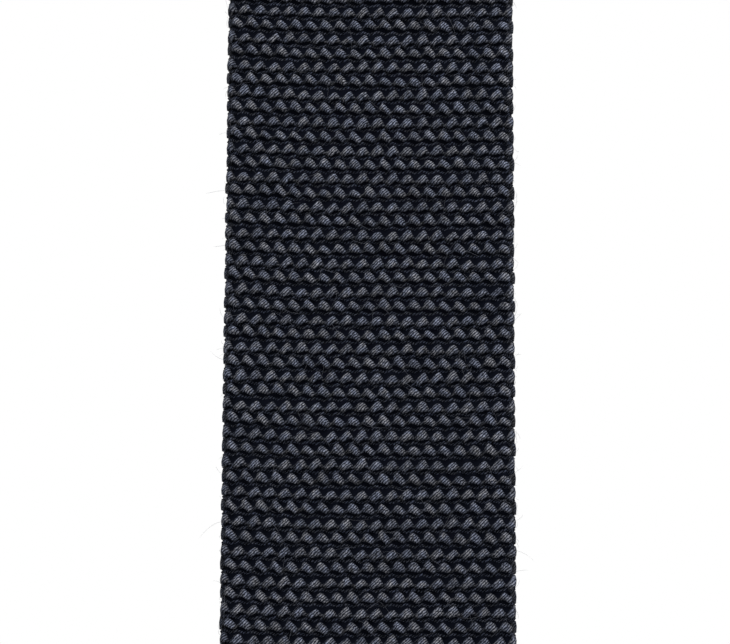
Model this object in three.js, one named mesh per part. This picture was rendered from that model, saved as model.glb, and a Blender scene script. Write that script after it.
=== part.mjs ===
// A knit necktie, tied in a four-in-hand knot as it is worn.
// Millimetres, +Z up, the wearer looks along -Y and +X is the viewer's right.
// The origin is the middle of the neck opening.
import * as THREE from 'three';

// Knit cloth: a seamless tube, pressed flat
const plyThickness = 1.7;      // one layer of the knit
const tubeSlack = 1.4;         // slit left between the two layers
const pressedThickness = 4.4;  // both layers, squeezed inside the knot
const wrapThickness = 4.2;     // both layers, stretched round the knot
const layGap = 0.3;            // between pieces that lie on each other
const wrapGap = 0.4;           // between the turns of the knot

// Neck loop
const neckWidth = 34;
const collarHalfWidth = 58;    // to the middle of the cloth, across the neck
const collarHalfDepth = 60;    // to the middle of the cloth, front to back
const collarSideHeight = 14;   // of the cloth's middle above the origin, at the side of the neck
const collarTilt = 22;         // how far the back of the loop stands above its side
const neckEndAngle = 125;      // degrees from the centre back to where a leg begins

// Stay tape inside the neck band
const tapeWidth = 22;
const tapeThickness = 0.8;
const tapeEndAngle = 100;
const tackWidth = 8;
const threadThickness = 0.8;

// Knot
const knotDrop = 30;           // from the origin down to the knot's top edge
const knotHeight = 42;
const passageTopWidth = 27;    // the tail inside the knot
const passageMouthWidth = 17;
const knotSetForward = 6;      // of the tail's passage, in front of the collar
const foldTopWidth = 17;       // the blade where it turns over the top
const foldMouthWidth = 24;     // the blade where it leaves the knot
const foldRise = 3;            // of the fold's turning centre above the knot's top edge
const legMouthWidth = 21;      // a leg where it enters the knot
const legParting = 2.5;        // from the centre line to a leg's inner edge

// Front blade
const bladeWidth = 58;
const bladeLength = 430;       // from the knot's mouth to the square end
const bladeGatherLength = 85;  // over which it opens to its full width

// Tail
const tailWidth = 46;
const tailLength = 330;
const tailGatherLength = 100;

// Square ends
const hemHeight = 8;
const linkingHeight = 0.9;
const linkingThickness = 1.2;

// Keeper loop on the back of the blade
const keeperAboveTailEnd = 75; // from the tail's end to the keeper's middle
const keeperHeight = 12;
const keeperThickness = 1.6;
const keeperFoot = 8;
const keeperEase = 0.8;        // left round the tail, so that it slides
const bartackWidth = 1.4;

// Labels, left blank
const labelWidth = 38;
const labelHeight = 18;
const labelThickness = 0.5;
const labelAboveKeeper = 14;
const careWidth = 20;
const careHeight = 28;
const careThickness = 0.4;
const careAboveEnd = 30;       // from the blade's end to the label's lower edge
const careStitchRise = 1.2;    // of the stitch line above the label's folded edge

// Worked-out levels
const clothThickness = 2 * plyThickness + tubeSlack;
const knotTopZ = -knotDrop;
const knotMouthZ = knotTopZ - knotHeight;
const tailY = -(collarHalfDepth + knotSetForward);
const innerTurn = (pressedThickness + wrapThickness) / 2 + wrapGap;
const foldTurn = 2 * innerTurn;
const outerTurn = foldTurn + pressedThickness + wrapGap;
const bladeY = tailY - foldTurn;
const bladeBackY = bladeY + clothThickness / 2;
const tailBackY = tailY + clothThickness / 2;
const bladeEndZ = knotMouthZ - layGap - bladeLength;
const tailEndZ = knotMouthZ - layGap - tailLength;

const X = new THREE.Vector3(1, 0, 0);
const Y = new THREE.Vector3(0, 1, 0);
const Z = new THREE.Vector3(0, 0, 1);

const lerp = THREE.MathUtils.lerp;
const smooth = (t) => THREE.MathUtils.smoothstep(t, 0, 1);
const steps = (count) => Array.from({ length: count + 1 }, (_, i) => i / count);

// Outline of a pressed tube: two flats joined by half-round edges.
function pressedOutline(width, thickness, edgeSteps = 4) {
  const radius = thickness / 2;
  const half = width / 2 - radius;
  const edge = (centre, start) => steps(edgeSteps).map((t) => {
    const angle = start + Math.PI * t;
    return new THREE.Vector2(centre + radius * Math.cos(angle), radius * Math.sin(angle));
  });
  return [...edge(half, -Math.PI / 2), ...edge(-half, Math.PI / 2)];
}

// Points of a flat path whose inner corners are rounded.
function roundedPath(corners, radius) {
  const path = new THREE.Path();
  path.moveTo(corners[0].x, corners[0].y);
  for (let i = 1; i < corners.length - 1; i++) {
    const corner = corners[i];
    const back = corners[i - 1].clone().sub(corner).setLength(radius).add(corner);
    const ahead = corners[i + 1].clone().sub(corner).setLength(radius).add(corner);
    path.lineTo(back.x, back.y);
    path.quadraticCurveTo(corner.x, corner.y, ahead.x, ahead.y);
  }
  const last = corners[corners.length - 1];
  path.lineTo(last.x, last.y);
  return path.getPoints(4);
}

// Outline of a strap of even thickness that follows a flat path.
function strapOutline(points, thickness) {
  const side = (sign) => points.map((point, i) => {
    const before = points[Math.max(i - 1, 0)];
    const after = points[Math.min(i + 1, points.length - 1)];
    const along = after.clone().sub(before).normalize();
    const normal = new THREE.Vector2(-along.y, along.x);
    return point.clone().addScaledVector(normal, sign * thickness / 2);
  });
  return [...side(-1), ...side(1).reverse()];
}

// A solid through a row of sections. A section is an outline, and for a tube also a hole, drawn on the plane
// that starts at `origin` and is spanned by `across` and `through`.
function loft(sections) {
  const positions = [];
  const triangles = [];
  const hasHole = Boolean(sections[0].hole);
  const outlineSize = sections[0].outline.length;
  const holeSize = hasHole ? sections[0].hole.length : 0;
  const ringSize = outlineSize + holeSize;

  for (const { origin, across, through, outline, hole } of sections) {
    for (const point of [...outline, ...(hole ?? [])]) {
      const placed = origin.clone().addScaledVector(across, point.x).addScaledVector(through, point.y);
      positions.push(placed.x, placed.y, placed.z);
    }
  }
  const wall = (ring, offset, size, outside) => {
    for (let i = 0; i < size; i++) {
      const a = ring * ringSize + offset + i;
      const b = ring * ringSize + offset + (i + 1) % size;
      const [c, d] = [a + ringSize, b + ringSize];
      if (outside) triangles.push(a, b, d, a, d, c);
      else triangles.push(a, d, b, a, c, d);
    }
  };
  for (let ring = 0; ring < sections.length - 1; ring++) {
    wall(ring, 0, outlineSize, true);
    if (hasHole) wall(ring, outlineSize, holeSize, false);
  }
  const cap = (ring, turned) => {
    const { outline, hole } = sections[ring];
    const first = ring * ringSize;
    for (const [a, b, c] of THREE.ShapeUtils.triangulateShape(outline, hole ? [hole] : [])) {
      if (turned) triangles.push(first + a, first + c, first + b);
      else triangles.push(first + a, first + b, first + c);
    }
  };
  cap(0, true);
  cap(sections.length - 1, false);

  const geometry = new THREE.BufferGeometry();
  geometry.setAttribute('position', new THREE.Float32BufferAttribute(positions, 3));
  geometry.setIndex(signedVolume(positions, triangles) < 0 ? triangles.reverse() : triangles);
  geometry.computeVertexNormals();
  return geometry;
}

// Six times the volume that the triangles enclose, positive when they face outwards.
function signedVolume(positions, triangles) {
  const corner = (index) => new THREE.Vector3().fromArray(positions, 3 * index);
  let total = 0;
  for (let i = 0; i < triangles.length; i += 3) {
    total += corner(triangles[i]).dot(corner(triangles[i + 1]).cross(corner(triangles[i + 2])));
  }
  return total;
}

// A section that lies level, at height z and depth y.
function levelSection(y, z, outline, hole) {
  return { origin: new THREE.Vector3(0, y, z), across: X, through: Y, outline, hole };
}

const navyWool = (name) => new THREE.MeshStandardMaterial({ name, color: '#262a33', roughness: 0.95, metalness: 0 });
const wovenTape = () => new THREE.MeshStandardMaterial({ color: '#1d2029', roughness: 0.8, metalness: 0 });
const sewingThread = () => new THREE.MeshStandardMaterial({ color: '#171a22', roughness: 0.7, metalness: 0 });
const satin = (color) => new THREE.MeshStandardMaterial({ color, roughness: 0.45, metalness: 0 });

const necktie = new THREE.Group();

function addPiece(name, geometry, material) {
  const mesh = new THREE.Mesh(geometry, material);
  mesh.name = name;
  necktie.add(mesh);
}

// ---- Neck loop ----

// The middle of the cloth at an angle from the centre back, and the frame it lies in: `across` runs up the
// band's width and `through` points away from the neck.
function neckFrame(degrees) {
  const angle = THREE.MathUtils.degToRad(degrees);
  const [s, c] = [Math.sin(angle), Math.cos(angle)];
  const origin = new THREE.Vector3(collarHalfWidth * s, collarHalfDepth * c, collarSideHeight + collarTilt * c);
  const along = new THREE.Vector3(collarHalfWidth * c, -collarHalfDepth * s, -collarTilt * s).normalize();
  const across = Z.clone().addScaledVector(along, -Z.dot(along)).normalize();
  const through = across.clone().cross(along).normalize();
  return { origin, along, across, through };
}

function neckPiece(fromDegrees, toDegrees, count, outline, hole) {
  return loft(steps(count).map((t) => ({ ...neckFrame(lerp(fromDegrees, toDegrees, t)), outline, hole })));
}

const neckOutline = pressedOutline(neckWidth, clothThickness);
const neckSlit = pressedOutline(neckWidth - 2 * plyThickness, tubeSlack);
addPiece('neck_band_knit', neckPiece(-neckEndAngle, neckEndAngle, 30, neckOutline, neckSlit), navyWool('neck'));

const tapeThicknessInSlit = Math.min(tapeThickness, tubeSlack - 2 * layGap);
const tapeWidthInSlit = Math.min(tapeWidth, neckWidth - 2 * plyThickness - tubeSlack - 2 * layGap);
addPiece(
  'neck_stay_tape',
  neckPiece(-tapeEndAngle, tapeEndAngle, 24, pressedOutline(tapeWidthInSlit, tapeThicknessInSlit, 2)),
  wovenTape(),
);

// The seam that joins the two lengths of tube at the centre back: a ridge of thread right round the band.
const seamHalfAngle = 1;
const seamOutline = pressedOutline(
  neckWidth + 2 * (layGap + threadThickness),
  clothThickness + 2 * (layGap + threadThickness),
);
const seamHole = pressedOutline(neckWidth + 2 * layGap, clothThickness + 2 * layGap);
addPiece('neck_join_seam', neckPiece(-seamHalfAngle, seamHalfAngle, 2, seamOutline, seamHole), sewingThread());

// Tacks that hold the ends of the stay tape, on the side of the band that faces the neck.
function tackGeometry(degrees) {
  const halfAngle = 0.8;
  const depth = -(clothThickness + threadThickness) / 2 - layGap;
  const outline = pressedOutline(tackWidth, threadThickness, 2).map((p) => new THREE.Vector2(p.x, p.y + depth));
  return neckPiece(degrees - halfAngle, degrees + halfAngle, 1, outline);
}
addPiece('stay_tape_tack_left', tackGeometry(-tapeEndAngle), sewingThread());
addPiece('stay_tape_tack_right', tackGeometry(tapeEndAngle), sewingThread());

// A leg runs from the end of the neck band down into the top of the knot and is gathered on the way. `side` is
// -1 for the left leg and +1 for the right one.
function legGeometry(side) {
  const start = neckFrame(side * (neckEndAngle + 0.4));
  const along = start.along.multiplyScalar(side);
  const mouthY = tailY - innerTurn / 2;
  const mouth = new THREE.Vector3(side * (legParting + legMouthWidth / 2), mouthY, knotTopZ + layGap);
  const mouthAlong = new THREE.Vector3(-side, 0, -1).normalize();
  const reach = start.origin.distanceTo(mouth) / 3;
  const curve = new THREE.CubicBezierCurve3(
    start.origin,
    start.origin.clone().addScaledVector(along, reach),
    mouth.clone().addScaledVector(mouthAlong, -reach),
    mouth,
  );
  const mouthAcross = X.clone().multiplyScalar(-side);
  return loft(steps(14).map((t) => {
    const across = start.across.clone().lerp(mouthAcross, smooth(t)).normalize();
    const through = curve.getTangent(t).cross(across).normalize();
    return {
      origin: curve.getPoint(t),
      across,
      through,
      outline: pressedOutline(
        lerp(neckWidth, legMouthWidth, smooth(t)),
        lerp(clothThickness, pressedThickness, t),
      ),
    };
  }));
}
addPiece('left_leg_knit', legGeometry(-1), navyWool('left leg'));
addPiece('right_leg_knit', legGeometry(1), navyWool('right leg'));

// ---- Knot ----

const passageHalf = (t) => lerp(passageTopWidth, passageMouthWidth, t) / 2;
const innerHalf = (t) => passageHalf(t) + wrapGap + wrapThickness / 2;
const outerHalf = (t) => innerHalf(t) + wrapThickness / 2 + wrapGap + pressedThickness / 2;
const knotLoft = (outlineAt) => loft(steps(6).map((t) => (
  levelSection(tailY, lerp(knotTopZ, knotMouthZ, t), outlineAt(t))
)));

addPiece(
  'knot_tail_passage',
  knotLoft((t) => pressedOutline(2 * passageHalf(t), pressedThickness)),
  navyWool('knot passage'),
);

// The first crossing and the pass behind: open at the right, where the right leg comes in.
const innerWrapOutline = (t) => {
  const half = innerHalf(t);
  const corners = [[half, -innerTurn], [-half, -innerTurn], [-half, innerTurn], [half, innerTurn]];
  const bend = Math.min(innerTurn, half) * 0.9;
  return strapOutline(roundedPath(corners.map(([x, y]) => new THREE.Vector2(x, y)), bend), wrapThickness);
};
addPiece('knot_inner_wrap', knotLoft(innerWrapOutline), navyWool('knot inner wrap'));

// The visible crossing: across the front and back along both sides.
const outerWrapOutline = (t) => {
  const half = outerHalf(t);
  const corners = [[-half, foldTurn], [-half, -outerTurn], [half, -outerTurn], [half, foldTurn]];
  const bend = 6;
  return strapOutline(roundedPath(corners.map(([x, y]) => new THREE.Vector2(x, y)), bend), pressedThickness);
};
addPiece('knot_outer_wrap', knotLoft(outerWrapOutline), navyWool('knot outer wrap'));

// The blade rises behind the knot, turns over its top and goes down behind the outer wrap.
function overFoldGeometry() {
  const turnZ = knotTopZ + foldRise;
  const rise = steps(3).map((t) => ({ y: foldTurn, z: lerp(knotMouthZ + hemHeight, turnZ, t), angle: 0, t }));
  const turn = steps(8).slice(1).map((t) => ({
    y: foldTurn * Math.cos(Math.PI * t),
    z: turnZ + foldTurn * Math.sin(Math.PI * t),
    angle: Math.PI * t,
    t: 1,
  }));
  const fall = steps(4).slice(1).map((t) => ({
    y: -foldTurn, z: lerp(turnZ, knotMouthZ, t), angle: Math.PI, t: 1 - t,
  }));
  return loft([...rise, ...turn, ...fall].map(({ y, z, angle, t }) => ({
    origin: new THREE.Vector3(0, tailY + y, z),
    across: X,
    through: new THREE.Vector3(0, Math.cos(angle), Math.sin(angle)),
    outline: pressedOutline(lerp(foldMouthWidth, foldTopWidth, smooth(t)), pressedThickness),
  })));
}
addPiece('knot_over_fold', overFoldGeometry(), navyWool('knot over fold'));

// ---- Blades ----

// The cloth opens from the knot's mouth to its full width.
function gatherGeometry(y, mouthWidth, fullWidth, length) {
  const topZ = knotMouthZ - layGap;
  return loft(steps(10).map((t) => levelSection(y, topZ - length * t, pressedOutline(
    lerp(mouthWidth, fullWidth, Math.sin(Math.PI / 2 * t)),
    lerp(pressedThickness, clothThickness, t),
  ))));
}

// The flat stretch, a tube that is open at both ends until its hem closes it.
function flatTubeGeometry(y, width, topZ, endZ) {
  const outline = pressedOutline(width, clothThickness);
  const slit = pressedOutline(width - 2 * plyThickness, tubeSlack);
  return loft(steps(6).map((t) => levelSection(y, lerp(topZ, endZ, t), outline, slit)));
}

function addBlade(name, y, mouthWidth, fullWidth, gatherLength, endZ) {
  const topZ = knotMouthZ - 2 * layGap - gatherLength;
  addPiece(`${name}_gather`, gatherGeometry(y, mouthWidth, fullWidth, gatherLength), navyWool(`${name} gather`));
  addPiece(`${name}_knit`, flatTubeGeometry(y, fullWidth, topZ, endZ), navyWool(name));

  // The end is turned in, lies in the slit, and is linked shut by a thread along the edge.
  const hemOutline = pressedOutline(
    fullWidth - 2 * plyThickness - 2 * layGap, tubeSlack - 2 * layGap, 2,
  );
  const hemSections = [endZ + hemHeight, endZ].map((z) => levelSection(y, z, hemOutline));
  addPiece(`${name}_turned_hem`, loft(hemSections), navyWool(`${name} hem`));
  const threadOutline = pressedOutline(fullWidth - clothThickness, linkingThickness, 2);
  const threadTopZ = endZ - layGap;
  const threadSections = [threadTopZ, threadTopZ - linkingHeight].map((z) => levelSection(y, z, threadOutline));
  addPiece(`${name}_linking_thread`, loft(threadSections), sewingThread());
}
addBlade('front_blade', bladeY, foldMouthWidth, bladeWidth, bladeGatherLength, bladeEndZ);
addBlade('tail', tailY, passageMouthWidth, tailWidth, tailGatherLength, tailEndZ);

// A level prism between two heights.
function prism(y, lowZ, highZ, outline) {
  return loft([highZ, lowZ].map((z) => levelSection(y, z, outline)));
}

// A flat bar that lies against a face: its near side is `lift` away from `faceY`, towards +Y.
function layOn(faceY, lift, x, lowZ, highZ, width, thickness) {
  const y = faceY + lift + thickness / 2;
  const outline = [[-1, -1], [1, -1], [1, 1], [-1, 1]].map(([i, j]) => (
    new THREE.Vector2(x + i * width / 2, j * thickness / 2)
  ));
  return prism(y, lowZ, highZ, outline);
}

// Keeper: a strip of the same knit, its ends turned in and sewn to the back of the blade.
const keeperHalf = tailWidth / 2 + keeperEase + keeperThickness / 2;
const keeperFootY = bladeBackY + layGap + keeperThickness / 2;
const keeperBackY = tailBackY + keeperEase + keeperThickness / 2;
const keeperMiddleZ = tailEndZ + keeperAboveTailEnd;
const keeperLowZ = keeperMiddleZ - keeperHeight / 2;
const keeperHighZ = keeperMiddleZ + keeperHeight / 2;
const keeperCorners = [
  [-keeperHalf + keeperFoot, keeperFootY],
  [-keeperHalf, keeperFootY],
  [-keeperHalf, keeperBackY],
  [keeperHalf, keeperBackY],
  [keeperHalf, keeperFootY],
  [keeperHalf - keeperFoot, keeperFootY],
].map(([x, y]) => new THREE.Vector2(x, y));
const keeperOutline = strapOutline(roundedPath(keeperCorners, keeperThickness), keeperThickness);
addPiece('keeper_loop', prism(0, keeperLowZ, keeperHighZ, keeperOutline), navyWool('keeper'));

const keeperFootBackY = keeperFootY + keeperThickness / 2;
for (const [name, side] of [['left', -1], ['right', 1]]) {
  const x = side * (keeperHalf - keeperFoot / 2);
  addPiece(
    `keeper_bartack_${name}`,
    layOn(keeperFootBackY, layGap, x, keeperLowZ + 1, keeperHighZ - 1, bartackWidth, threadThickness),
    sewingThread(),
  );
}

// Woven label on the back of the blade, above the keeper, sewn down at both ends.
const labelLowZ = keeperHighZ + labelAboveKeeper;
addPiece(
  'woven_label',
  layOn(bladeBackY, layGap, 0, labelLowZ, labelLowZ + labelHeight, labelWidth, labelThickness),
  satin('#20242e'),
);
const labelFaceY = bladeBackY + layGap + labelThickness;
for (const [name, side] of [['left', -1], ['right', 1]]) {
  const x = side * (labelWidth / 2 - bartackWidth);
  addPiece(
    `woven_label_stitch_${name}`,
    layOn(labelFaceY, layGap, x, labelLowZ + 1, labelLowZ + labelHeight - 1, bartackWidth / 2, threadThickness / 2),
    sewingThread(),
  );
}

// Care label on the back of the blade, below the tail's end: it hangs from its upper edge and can be lifted.
const careLowZ = bladeEndZ + careAboveEnd;
const careHighZ = careLowZ + careHeight;
addPiece(
  'care_label',
  layOn(bladeBackY, layGap, 0, careLowZ, careHighZ, careWidth, careThickness),
  satin('#d9dade'),
);
const careStitchZ = careHighZ + careStitchRise;
addPiece(
  'care_label_stitch',
  layOn(bladeBackY, layGap, 0, careStitchZ, careStitchZ + linkingHeight, careWidth, threadThickness / 2),
  sewingThread(),
);

export default necktie;
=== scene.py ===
"""A dark navy knit necktie in a four-in-hand knot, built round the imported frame. Metres, +Z up, front -Y."""

import math
import bpy
import numpy as np
from mathutils import Matrix, Vector


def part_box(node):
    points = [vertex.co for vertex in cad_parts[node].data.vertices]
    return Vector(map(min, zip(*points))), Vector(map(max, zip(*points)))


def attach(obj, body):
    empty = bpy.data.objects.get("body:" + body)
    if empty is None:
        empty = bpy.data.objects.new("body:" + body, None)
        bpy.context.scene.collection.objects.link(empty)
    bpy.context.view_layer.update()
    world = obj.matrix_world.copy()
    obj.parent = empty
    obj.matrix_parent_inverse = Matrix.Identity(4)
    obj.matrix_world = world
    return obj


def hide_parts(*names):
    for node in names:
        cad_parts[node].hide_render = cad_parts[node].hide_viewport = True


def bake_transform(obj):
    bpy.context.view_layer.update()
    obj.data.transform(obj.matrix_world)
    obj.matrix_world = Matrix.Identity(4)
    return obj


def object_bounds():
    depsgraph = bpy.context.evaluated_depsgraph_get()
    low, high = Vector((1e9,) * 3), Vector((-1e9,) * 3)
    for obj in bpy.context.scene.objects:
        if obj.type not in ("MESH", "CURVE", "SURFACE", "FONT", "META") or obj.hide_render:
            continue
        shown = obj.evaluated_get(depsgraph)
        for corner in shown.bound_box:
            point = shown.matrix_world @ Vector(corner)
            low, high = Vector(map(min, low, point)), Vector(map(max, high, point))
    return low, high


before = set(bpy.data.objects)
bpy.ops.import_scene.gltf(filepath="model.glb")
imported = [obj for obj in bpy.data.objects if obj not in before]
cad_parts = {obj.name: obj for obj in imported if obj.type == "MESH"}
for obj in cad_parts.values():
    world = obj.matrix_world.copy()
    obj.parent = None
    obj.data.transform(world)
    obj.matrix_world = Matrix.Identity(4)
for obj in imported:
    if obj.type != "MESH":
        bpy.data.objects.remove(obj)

cad_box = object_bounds()

# Front blade, flat stretch. A seamless tube of thick plied wool yarn, knitted in the round and pressed flat.
# Each course is one ring of yarn round the tube: a row of arched bumps, joined along their lower edge, over a
# ground painted near-black as shade.
BACK, RIGHT, UP = (0.0, 1.0, 0.0), (1.0, 0.0, 0.0), (0.0, 0.0, 1.0)
COURSE_PITCH = 0.0029
BLADE_STITCHES = 40
GROUND_DEPTH = 0.0012
THINNEST = 0.0004


def unit(vectors):
    """Vectors scaled to length one."""
    return vectors / np.maximum(np.linalg.norm(vectors, axis=-1, keepdims=True), 1e-12)


def course_stations(centre, through, across, width, thickness, pitch=COURSE_PITCH):
    """One station a course along a centre line: points every `pitch` of its arc length, with the cloth's
    width direction, its thickness direction (the face is on the minus side) and the way along, all at right
    angles. A direction or a size may be the same all along the line."""
    centre = np.asarray(centre, float)
    through, across = (np.broadcast_to(np.asarray(way, float), centre.shape) for way in (through, across))
    width, thickness = (np.broadcast_to(np.asarray(size, float), len(centre)) for size in (width, thickness))
    length = np.concatenate([[0], np.cumsum(np.linalg.norm(np.diff(centre, axis=0), axis=1))])
    count = max(int(round(length[-1] / pitch)), 2)
    places = (np.arange(count) + 0.5) * length[-1] / count

    def pick(values):
        if values.ndim == 1:
            return np.interp(places, length, values)
        return np.stack([np.interp(places, length, column) for column in values.T], axis=1)

    down = unit(pick(unit(np.gradient(centre, length, axis=0))))
    n = pick(through)
    n = unit(n - (n * down).sum(1, keepdims=True) * down)
    a = unit(np.cross(down, n))
    a *= np.where((a * pick(across)).sum(1, keepdims=True) < 0, -1, 1)
    return {"centre": pick(centre), "across": a, "through": n, "down": down, "pitch": length[-1] / count,
            "width": pick(width), "thickness": pick(thickness)}


def pressed_ring(turn, width, thickness):
    """A point and its outward normal on the outline of a pressed tube, two flats joined by half rounds.
    `turn` runs from 0 to 1 round the outline from the middle of the face, evenly by its length."""
    radius, flat = thickness / 2, width - thickness
    arc = math.pi * radius
    s = turn * (2 * flat + 2 * arc)
    right, back, left = flat / 2, flat / 2 + arc, 1.5 * flat + arc
    last = left + arc
    zones = [s < right, s < back, s < left, s < last]
    angle_right = (s - right) / radius - math.pi / 2
    angle_left = (s - left) / radius + math.pi / 2
    zero = np.zeros_like(s)
    x = np.select(zones, [s, flat / 2 + radius * np.cos(angle_right), flat / 2 - (s - back),
                          -flat / 2 + radius * np.cos(angle_left)], -flat / 2 + (s - last))
    y = np.select(zones, [zero - radius, radius * np.sin(angle_right), zero + radius,
                          radius * np.sin(angle_left)], -radius)
    nx = np.select(zones, [zero, np.cos(angle_right), zero, np.cos(angle_left)], 0.0)
    ny = np.select(zones, [zero - 1, np.sin(angle_right), zero + 1, np.sin(angle_left)], -1.0)
    return x, y, nx, ny


def faces_turned(stations):
    """Whether yarn rings at these stations come out with their faces inwards, because the cloth's directions
    are left-handed."""
    handed = np.cross(stations["across"][0], stations["through"][0]) @ stations["down"][0]
    return handed < 0


def grid_mesh(name, points, loop_rows, loop_columns, turned, uv=None, caps=False, rows_apart=False,
              painted_shade=None):
    """A mesh of quads over a grid of points, rows by columns by three. Rows or columns close on themselves
    where asked. With `rows_apart` there are many grids, each by itself. Caps close each grid's first and last
    row with a face. `uv` is a step along the rows and a height for each point, and the painted shade, where
    given, is an attribute of each point."""
    if rows_apart:
        blocks, rows, columns = points.shape[:3]
    else:
        (rows, columns), blocks = points.shape[:2], 1
    i = np.arange(rows if loop_rows else rows - 1)
    j = np.arange(columns if loop_columns else columns - 1)
    b, i, j = np.meshgrid(np.arange(blocks), i, j, indexing="ij")
    i2, j2 = (i + 1) % rows, (j + 1) % columns
    base = b * rows * columns
    quads = np.stack([base + i * columns + j, base + i2 * columns + j,
                      base + i2 * columns + j2, base + i * columns + j2], axis=-1).reshape(-1, 4)
    steps_along = np.stack([i, i + 1, i + 1, i], axis=-1).reshape(-1, 4)
    if turned:
        quads, steps_along = quads[:, ::-1], steps_along[:, ::-1]
    vertices = points.reshape(-1, 3)
    sizes = np.full(len(quads), 4)
    loops = quads.ravel()
    if caps:
        start = (np.arange(blocks) * rows * columns)[:, None] + np.arange(columns)
        ends = np.concatenate([start, (start + (rows - 1) * columns)[:, ::-1]])
        if turned:
            ends = ends[:, ::-1]
        loops = np.concatenate([loops, ends.ravel()])
        sizes = np.concatenate([sizes, np.full(len(ends), columns)])
    mesh = bpy.data.meshes.new(name)
    mesh.vertices.add(len(vertices))
    mesh.vertices.foreach_set("co", vertices.astype(np.float32).ravel())
    mesh.loops.add(len(loops))
    mesh.loops.foreach_set("vertex_index", loops.astype(np.int32))
    mesh.polygons.add(len(sizes))
    mesh.polygons.foreach_set("loop_start", (np.cumsum(sizes) - sizes).astype(np.int32))
    mesh.polygons.foreach_set("use_smooth", sizes == 4)
    if uv is not None:
        layer = mesh.uv_layers.new(name="yarn")
        values = np.zeros((len(loops), 2), np.float32)
        values[:quads.size, 0] = steps_along.ravel() * uv[0]
        values[:quads.size, 1] = uv[1].ravel()[quads.ravel()]
        layer.data.foreach_set("uv", values.ravel())
    if painted_shade is not None:
        height = mesh.attributes.new("painted_shade", "FLOAT", "POINT")
        height.data.foreach_set("value", painted_shade.astype(np.float32).ravel())
    mesh.update(calc_edges=True)
    piece = bpy.data.objects.new(name, mesh)
    bpy.context.scene.collection.objects.link(piece)
    return piece


BOW_POWER = 2.5


def edge_lift(x, width, bow):
    """How far a course rises towards its left and right edge: the bow times a power of the way out."""
    return np.where(x < 0, bow[0], bow[1]) * (np.abs(x) / (width / 2)) ** BOW_POWER


def yarn_points(stations, outline, set_out, drop, out_part, down_part):
    """Points of yarn rings: the outline's points, moved outwards by `set_out` and along the cloth by `drop`,
    each with the yarn's section round it, `out_part` outwards by `down_part` along."""
    x, y, nx, ny = (part[..., None] for part in outline)
    a, n, d = (stations[key][:, None, :] for key in ("across", "through", "down"))
    outward = unit(a * nx + n * ny)
    middle = (stations["centre"][:, None, :] + a * x + n * y + outward * set_out[..., None]
              + d * drop[..., None])
    return (middle[..., None, :] + outward[..., None, :] * out_part[..., None]
            + d[..., None, :] * down_part[..., None])


YARN_SIDES = 6
FRONT_CROWDING = 0.35
SECTION_SLANT = 0.30
BUMP_HALF_HEIGHT = 0.00102
BUMP_HALF_DEPTH = 0.00080
BUMP_SET_OUT = 0.00010
BUMP_SHARE = 0.75
BUMP_POWER = 2.4
BUMP_LEAN = 0.00027
GAP_HALF_HEIGHT = 0.00042
GAP_HALF_DEPTH = 0.00045
GAP_SET_IN = 0.00095
GAP_SINK = 0.85
# GAP_SHOWN, SIDE_SHOWN and EDGE_SHADE set painted shade: the share of light that the gaps between bumps, the
# yarn's sides and the cloth's edges keep in the colour.
GAP_SHOWN = 0.24
SIDE_SHOWN = 0.45
EDGE_HALF_HEIGHT = 0.00160
EDGE_SET_IN = 0.00075
EDGE_FULLNESS = 0.8
EDGE_SQUARENESS = 0.6
EDGE_SHADE = 0.6
UNEVEN_HEIGHT = 0.00008
UNEVEN_SET_OUT = 0.00007
UNEVEN_DROP = 0.00009
UNEVEN_LEAN = 0.00010
COURSE_SHIFT = 0.00008
COURSE_SWAY = 0.00012
COURSE_SWAYS = 3
OPEN_STITCH = 0.00303
ROUND_EDGES = 0.57
LEAST_ROOM = 0.45
MOST_ROOM = 1.1
CROWDED_DEPTH = 0.6


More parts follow.
